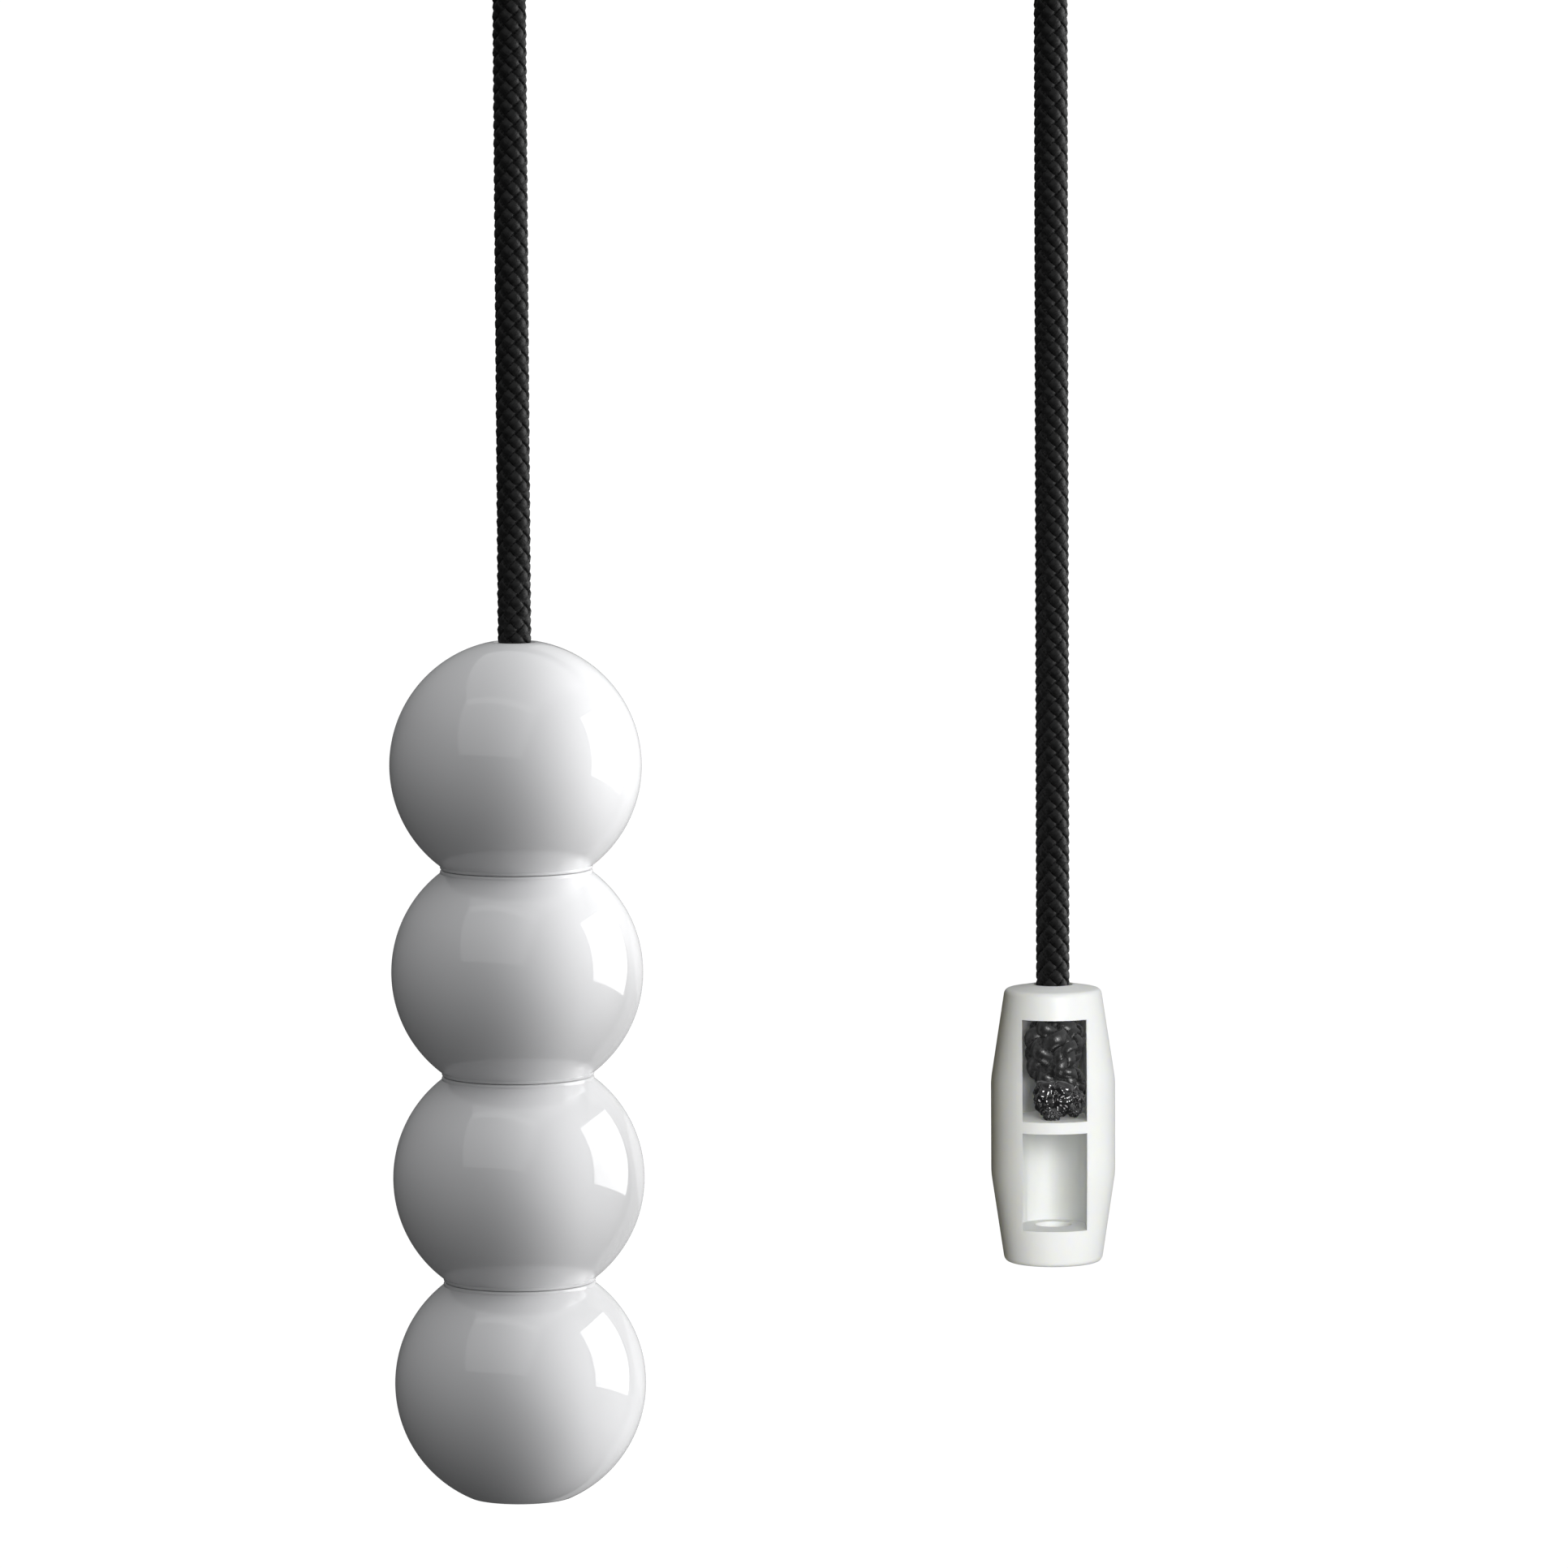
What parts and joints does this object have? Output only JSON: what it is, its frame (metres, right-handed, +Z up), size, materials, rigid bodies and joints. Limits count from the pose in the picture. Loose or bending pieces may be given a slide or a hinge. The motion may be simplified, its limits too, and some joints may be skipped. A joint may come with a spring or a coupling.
{
  "type": "pull cord switch",
  "caption": "Ceiling pull-cord switch with two braided cords, one ending in a handle of stacked balls, the other in a barrel cord connector.",
  "frame": {"origin": "centre of the base plate's upper face, against the ceiling, midway between the two cords", "axes": "+Z up towards the ceiling, +X to the right across the two cords, -Y to the front, where the connector's windows are"},
  "size_m": [0.1178, 0.054, 0.2296],
  "materials": {
    "housing_white": "satin white urea moulding",
    "mechanism_ivory": "ivory glass-filled nylon",
    "slider_grey": "grey acetal",
    "rotor_nylon": "natural nylon",
    "ball_white": "high-gloss white lacquer",
    "connector_white": "smooth satin white moulding",
    "cord_black": "black round polyester braid",
    "brass": "bright machined brass",
    "contact_copper": "rolled phosphor bronze",
    "zinc_plated_steel": "bright zinc plating",
    "spring_steel": "drawn spring wire"
  },
  "bodies": {
    "root": {"arm_bracket_left": "brass", "arm_bracket_right": "brass", "arm_pin_left": "zinc_plated_steel", "arm_pin_right": "zinc_plated_steel", "base_plate": "housing_white", "carrier_left": "mechanism_ivory", "carrier_right": "mechanism_ivory", "carrier_screw_1_left": "zinc_plated_steel", "carrier_screw_1_right": "zinc_plated_steel", "carrier_screw_2_left": "zinc_plated_steel", "carrier_screw_2_right": "zinc_plated_steel", "cord_guide_left": "housing_white", "cord_guide_right": "housing_white", "cover": "housing_white", "cover_screw_front": "zinc_plated_steel", "cover_screw_rear": "zinc_plated_steel", "earth_screw": "zinc_plated_steel", "earth_terminal": "brass", "fixed_contact_left": "contact_copper", "fixed_contact_right": "contact_copper", "guide_ring_left": "zinc_plated_steel", "guide_ring_right": "zinc_plated_steel", "return_spring_left": "spring_steel", "return_spring_right": "spring_steel", "rotor_axle_left": "zinc_plated_steel", "rotor_axle_right": "zinc_plated_steel", "terminal_in_left": "brass", "terminal_in_right": "brass", "terminal_out_left": "brass", "terminal_out_right": "brass", "terminal_screw_in_left": "zinc_plated_steel", "terminal_screw_in_right": "zinc_plated_steel", "terminal_screw_out_left": "zinc_plated_steel", "terminal_screw_out_right": "zinc_plated_steel"},
    "pull_left": {"pull_slider_left": "slider_grey", "slider_knot_left": "cord_black", "handle_cord": "cord_black", "handle_washer": "zinc_plated_steel", "handle_end_knot": "cord_black"},
    "pull_right": {"pull_slider_right": "slider_grey", "slider_knot_right": "cord_black", "connector_cord": "cord_black"},
    "rotor_left": {"ratchet_rotor_left": "rotor_nylon"},
    "rotor_right": {"ratchet_rotor_right": "rotor_nylon"},
    "contact_left": {"contact_arm_left": "contact_copper"},
    "contact_right": {"contact_arm_right": "contact_copper"},
    "connector": {"connector_body": "connector_white", "connector_knot": "cord_black"},
    "ball_1": {"ball_1": "ball_white"},
    "ball_2": {"ball_2": "ball_white"},
    "ball_3": {"ball_3": "ball_white"},
    "ball_4": {"ball_4": "ball_white"}
  },
  "joints": [
    {"name": "pull_left", "type": "slide", "parent": "root", "child": "pull_left", "axis": [0, 0, -1], "range_m": [0, 0.008], "stiffness_N_per_m": 700, "springref_m": -0.0071, "deforming": ["return_spring_left"]},
    {"name": "rotor_left", "type": "hinge", "parent": "root", "child": "rotor_left", "pos_m": [-0.0217, 0.01065, -0.0196], "axis": [0, 1, 0], "range_deg": [-45.5, 0]},
    {"name": "contact_left", "type": "hinge", "parent": "root", "child": "contact_left", "pos_m": [-0.0109, 0.0146, -0.0262], "axis": [0, 1, 0], "range_deg": [-6.5, 0]},
    {"name": "pull_right", "type": "slide", "parent": "root", "child": "pull_right", "axis": [0, 0, -1], "range_m": [0, 0.008], "stiffness_N_per_m": 700, "springref_m": -0.0071, "deforming": ["return_spring_right"]},
    {"name": "rotor_right", "type": "hinge", "parent": "root", "child": "rotor_right", "pos_m": [0.0217, 0.01065, -0.0196], "axis": [0, 1, 0], "range_deg": [0, 45.5]},
    {"name": "contact_right", "type": "hinge", "parent": "root", "child": "contact_right", "pos_m": [0.0109, 0.0146, -0.0262], "axis": [0, 1, 0], "range_deg": [0, 6.5]},
    {"name": "ball_1_spin", "type": "hinge", "parent": "pull_left", "child": "ball_1", "pos_m": [-0.0319, 0, -0.1418], "axis": [0, 0, 1], "continuous": true},
    {"name": "ball_2_spin", "type": "hinge", "parent": "pull_left", "child": "ball_2", "pos_m": [-0.0319, 0, -0.16654], "axis": [0, 0, 1], "continuous": true},
    {"name": "ball_3_spin", "type": "hinge", "parent": "pull_left", "child": "ball_3", "pos_m": [-0.0319, 0, -0.19128], "axis": [0, 0, 1], "continuous": true},
    {"name": "ball_4_spin", "type": "hinge", "parent": "pull_left", "child": "ball_4", "pos_m": [-0.0319, 0, -0.21602], "axis": [0, 0, 1], "continuous": true},
    {"name": "connector_swivel", "type": "hinge", "parent": "pull_right", "child": "connector", "pos_m": [0.0319, 0, -0.1683], "axis": [0, 0, 1], "continuous": true}
  ],
  "couplings": [
    {"joint": "rotor_left", "follows": "pull_left", "rad_per_m": -98.175},
    {"joint": "contact_left", "follows": "pull_left", "rad_per_m": -13.963},
    {"joint": "rotor_right", "follows": "pull_right", "rad_per_m": 98.175},
    {"joint": "contact_right", "follows": "pull_right", "rad_per_m": 13.963}
  ]
}
